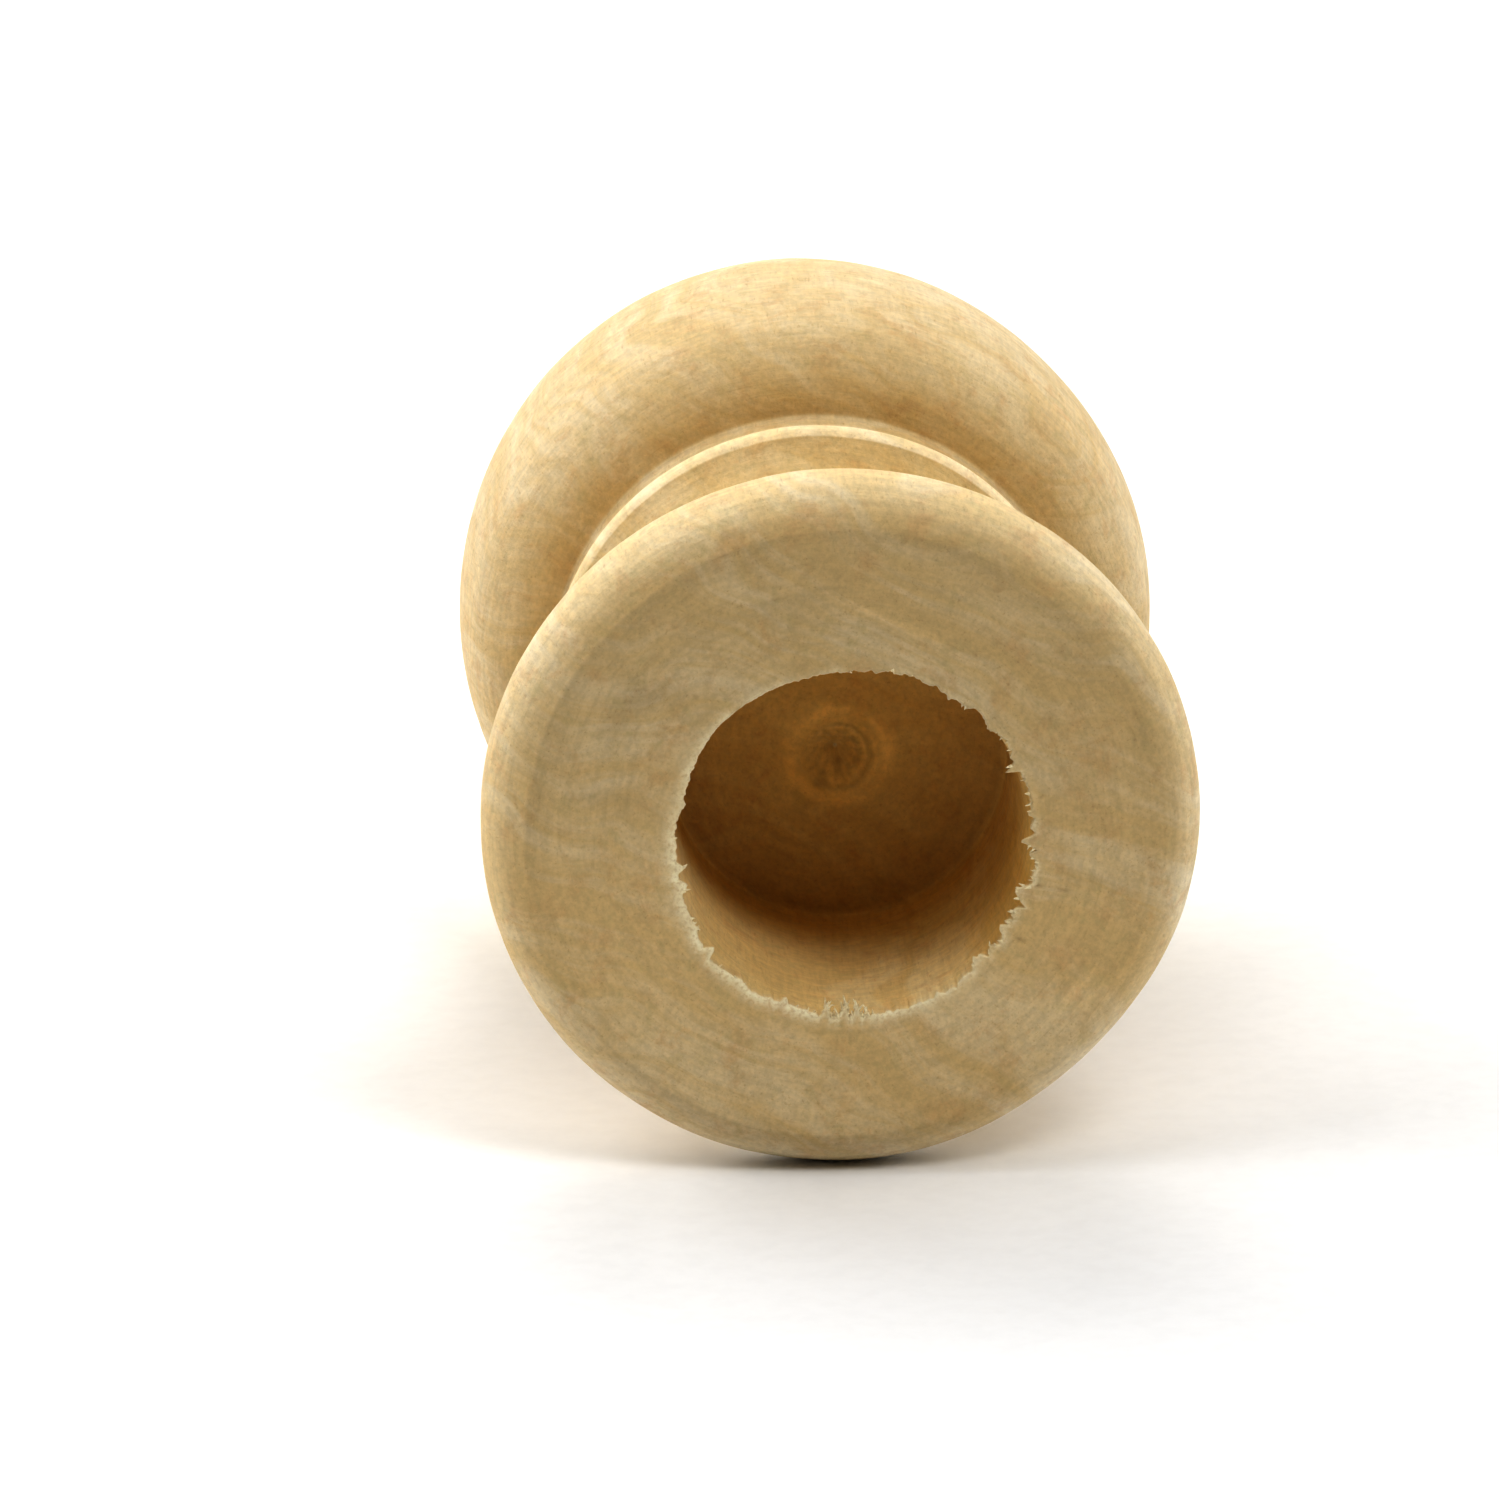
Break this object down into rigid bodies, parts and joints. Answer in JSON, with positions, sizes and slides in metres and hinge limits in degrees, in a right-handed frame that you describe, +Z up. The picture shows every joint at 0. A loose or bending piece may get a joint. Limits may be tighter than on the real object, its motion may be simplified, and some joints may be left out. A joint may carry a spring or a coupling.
{
  "type": "turned wooden dowel cap",
  "caption": "One-piece turned wooden cap with a rounded head, a neck and a base flange, and a blind socket in the base that fits over the end of a dowel.",
  "frame": {"origin": "on the ground under the middle of the length, as the part lies on its side on its flange and its head", "axes": "+Z up from the ground, the turning axis along Y, 13.5 mm above the ground, the head towards +Y and the socket's mouth towards -Y, +X to the right when looking into the head from the socket's side"},
  "size_m": [0.027, 0.044, 0.027],
  "materials": {
    "turned_body": "bare, lightly sanded pale close-grained hardwood, end grain on the base face"
  },
  "bodies": {
    "root": {"turned_body": "turned_body"}
  },
  "joints": []
}
